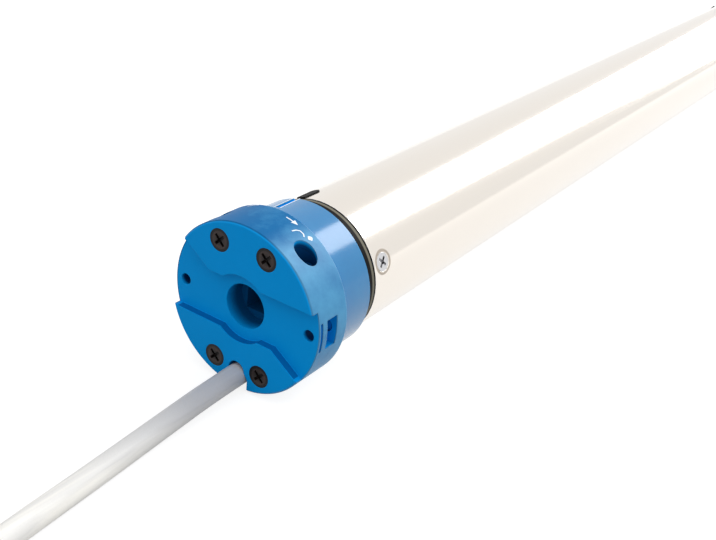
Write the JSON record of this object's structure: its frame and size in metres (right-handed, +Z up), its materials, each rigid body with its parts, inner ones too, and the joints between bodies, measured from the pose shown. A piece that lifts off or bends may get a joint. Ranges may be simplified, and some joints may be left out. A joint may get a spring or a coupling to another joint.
{
  "type": "tubular roller blind motor",
  "caption": "Round tubular motor for a roller blind: blue head with bracket socket and limit screws, limit crown, steel tube, planetary gearbox, drive wheel and mains cable.",
  "frame": {"origin": "centre of the bracket socket's mouth, on the floor of the channel across the head's face", "axes": "+X along the motor from the head to the drive wheel, +Z up as it lies, with the two adjusting screws on top"},
  "size_m": [0.9183, 0.0774, 0.0536],
  "materials": {
    "blue_plastic": "satin moulded",
    "black_plastic": "moulded, slight gloss",
    "black_steel": "blackened screws",
    "tube_steel": "bright plated tube",
    "bright_steel": "bright",
    "gear_steel": "sintered",
    "zinc_steel": "zinc plated",
    "white_nylon": "moulded",
    "switch_black": "moulded",
    "wire_insulation": "extruded",
    "cable_grey": "extruded, slight gloss",
    "tie_white": "moulded",
    "ferrule_tin": "tinned",
    "capacitor_white": "moulded can",
    "cast_aluminium": "die cast",
    "bearing_bronze": "sintered",
    "lamination_steel": "stacked sheet",
    "winding_copper": "enamelled wire",
    "brake_lining": "friction lining"
  },
  "bodies": {
    "casing": {"head_cover": "blue_plastic", "face_screws": "black_steel", "head_frame": "blue_plastic", "tube_collar": "black_plastic", "motor_tube": "tube_steel", "tube_screws": "bright_steel", "guide_rod": "bright_steel", "switch_carrier": "black_plastic", "upper_microswitch": "switch_black", "lower_microswitch": "switch_black", "terminal_block": "white_nylon", "cable_clamp": "zinc_steel", "clamp_screws": "bright_steel", "head_wires": "wire_insulation", "power_cable": "cable_grey", "cable_coil": "cable_grey", "coil_tie": "tie_white", "cable_cores": "wire_insulation", "core_ferrules": "ferrule_tin", "capacitor_cradle": "black_plastic", "capacitor": "capacitor_white", "front_shield": "cast_aluminium", "rear_shield": "cast_aluminium", "motor_bearings": "bearing_bronze", "stator_core": "lamination_steel", "stator_winding": "winding_copper", "brake_housing": "cast_aluminium", "brake_spring": "bright_steel", "gearbox_plate": "zinc_steel", "ring_gear": "gear_steel", "output_bearing": "bearing_bronze", "end_cap": "black_plastic", "end_cap_screws": "bright_steel"},
    "crown_ring": {"crown": "blue_plastic"},
    "limit_screw": {"limit_spindle": "bright_steel"},
    "upper_nut": {"upper_limit_nut": "white_nylon"},
    "lower_nut": {"lower_limit_nut": "white_nylon"},
    "upper_adjuster": {"upper_limit_adjuster": "blue_plastic"},
    "lower_adjuster": {"lower_limit_adjuster": "blue_plastic"},
    "rotor": {"rotor_core": "lamination_steel", "motor_shaft": "bright_steel", "brake_disc": "brake_lining", "sun_gear": "gear_steel"},
    "armature": {"brake_armature": "lamination_steel"},
    "first_stage": {"first_carrier": "gear_steel"},
    "second_stage": {"second_carrier": "gear_steel"},
    "output": {"output_shaft": "gear_steel", "drive_wheel": "black_plastic", "wheel_clip": "bright_steel"},
    "first_planet_body_1": {"first_planet_1": "gear_steel"},
    "first_planet_body_2": {"first_planet_2": "gear_steel"},
    "first_planet_body_3": {"first_planet_3": "gear_steel"},
    "second_planet_body_1": {"second_planet_1": "gear_steel"},
    "second_planet_body_2": {"second_planet_2": "gear_steel"},
    "second_planet_body_3": {"second_planet_3": "gear_steel"},
    "third_planet_body_1": {"third_planet_1": "gear_steel"},
    "third_planet_body_2": {"third_planet_2": "gear_steel"},
    "third_planet_body_3": {"third_planet_3": "gear_steel"}
  },
  "joints": [
    {"name": "crown_turn", "type": "hinge", "parent": "casing", "child": "crown_ring", "pos_m": [0.0215, 0, 0], "axis": [1, 0, 0], "continuous": true},
    {"name": "limit_screw_turn", "type": "hinge", "parent": "casing", "child": "limit_screw", "pos_m": [0.05, 0, 0.0144], "axis": [1, 0, 0], "continuous": true},
    {"name": "upper_nut_travel", "type": "slide", "parent": "casing", "child": "upper_nut", "axis": [1, 0, 0], "range_m": [0, 0.022]},
    {"name": "lower_nut_travel", "type": "slide", "parent": "casing", "child": "lower_nut", "axis": [1, 0, 0], "range_m": [0, 0.022]},
    {"name": "upper_adjuster_turn", "type": "hinge", "parent": "casing", "child": "upper_adjuster", "pos_m": [0.00545, -0.01575, 0.012], "axis": [0, 0, 1], "continuous": true},
    {"name": "lower_adjuster_turn", "type": "hinge", "parent": "casing", "child": "lower_adjuster", "pos_m": [0.00545, 0.01575, 0.012], "axis": [0, 0, 1], "continuous": true},
    {"name": "motor_turn", "type": "hinge", "parent": "casing", "child": "rotor", "pos_m": [0.25, 0, 0], "axis": [1, 0, 0], "continuous": true},
    {"name": "brake_release", "type": "slide", "parent": "casing", "child": "armature", "axis": [1, 0, 0], "range_m": [0, 0.0003], "stiffness_N_per_m": 2000},
    {"name": "first_stage_turn", "type": "hinge", "parent": "casing", "child": "first_stage", "pos_m": [0.4, 0, 0], "axis": [1, 0, 0], "continuous": true},
    {"name": "second_stage_turn", "type": "hinge", "parent": "casing", "child": "second_stage", "pos_m": [0.43, 0, 0], "axis": [1, 0, 0], "continuous": true},
    {"name": "output_turn", "type": "hinge", "parent": "casing", "child": "output", "pos_m": [0.5, 0, 0], "axis": [1, 0, 0], "continuous": true},
    {"name": "first_planet_turn_1", "type": "hinge", "parent": "first_stage", "child": "first_planet_body_1", "pos_m": [0.383, 0.0108, 0], "axis": [1, 0, 0], "continuous": true},
    {"name": "first_planet_turn_2", "type": "hinge", "parent": "first_stage", "child": "first_planet_body_2", "pos_m": [0.383, -0.0054, 0.00935], "axis": [1, 0, 0], "continuous": true},
    {"name": "first_planet_turn_3", "type": "hinge", "parent": "first_stage", "child": "first_planet_body_3", "pos_m": [0.383, -0.0054, -0.00935], "axis": [1, 0, 0], "continuous": true},
    {"name": "second_planet_turn_1", "type": "hinge", "parent": "second_stage", "child": "second_planet_body_1", "pos_m": [0.41, 0.0108, 0], "axis": [1, 0, 0], "continuous": true},
    {"name": "second_planet_turn_2", "type": "hinge", "parent": "second_stage", "child": "second_planet_body_2", "pos_m": [0.41, -0.0054, 0.00935], "axis": [1, 0, 0], "continuous": true},
    {"name": "second_planet_turn_3", "type": "hinge", "parent": "second_stage", "child": "second_planet_body_3", "pos_m": [0.41, -0.0054, -0.00935], "axis": [1, 0, 0], "continuous": true},
    {"name": "third_planet_turn_1", "type": "hinge", "parent": "output", "child": "third_planet_body_1", "pos_m": [0.44, 0.0108, 0], "axis": [1, 0, 0], "continuous": true},
    {"name": "third_planet_turn_2", "type": "hinge", "parent": "output", "child": "third_planet_body_2", "pos_m": [0.44, -0.0054, 0.00935], "axis": [1, 0, 0], "continuous": true},
    {"name": "third_planet_turn_3", "type": "hinge", "parent": "output", "child": "third_planet_body_3", "pos_m": [0.44, -0.0054, -0.00935], "axis": [1, 0, 0], "continuous": true}
  ],
  "couplings": [
    {"joint": "limit_screw_turn", "follows": "crown_turn", "ratio": 4},
    {"joint": "first_stage_turn", "follows": "motor_turn", "ratio": 0.22222},
    {"joint": "second_stage_turn", "follows": "motor_turn", "ratio": 0.049383},
    {"joint": "output_turn", "follows": "motor_turn", "ratio": 0.010974},
    {"joint": "first_planet_turn_1", "follows": "motor_turn", "ratio": -0.62222},
    {"joint": "first_planet_turn_2", "follows": "motor_turn", "ratio": -0.62222},
    {"joint": "first_planet_turn_3", "follows": "motor_turn", "ratio": -0.62222},
    {"joint": "second_planet_turn_1", "follows": "motor_turn", "ratio": -0.13827},
    {"joint": "second_planet_turn_2", "follows": "motor_turn", "ratio": -0.13827},
    {"joint": "second_planet_turn_3", "follows": "motor_turn", "ratio": -0.13827},
    {"joint": "third_planet_turn_1", "follows": "motor_turn", "ratio": -0.030727},
    {"joint": "third_planet_turn_2", "follows": "motor_turn", "ratio": -0.030727},
    {"joint": "third_planet_turn_3", "follows": "motor_turn", "ratio": -0.030727}
  ]
}
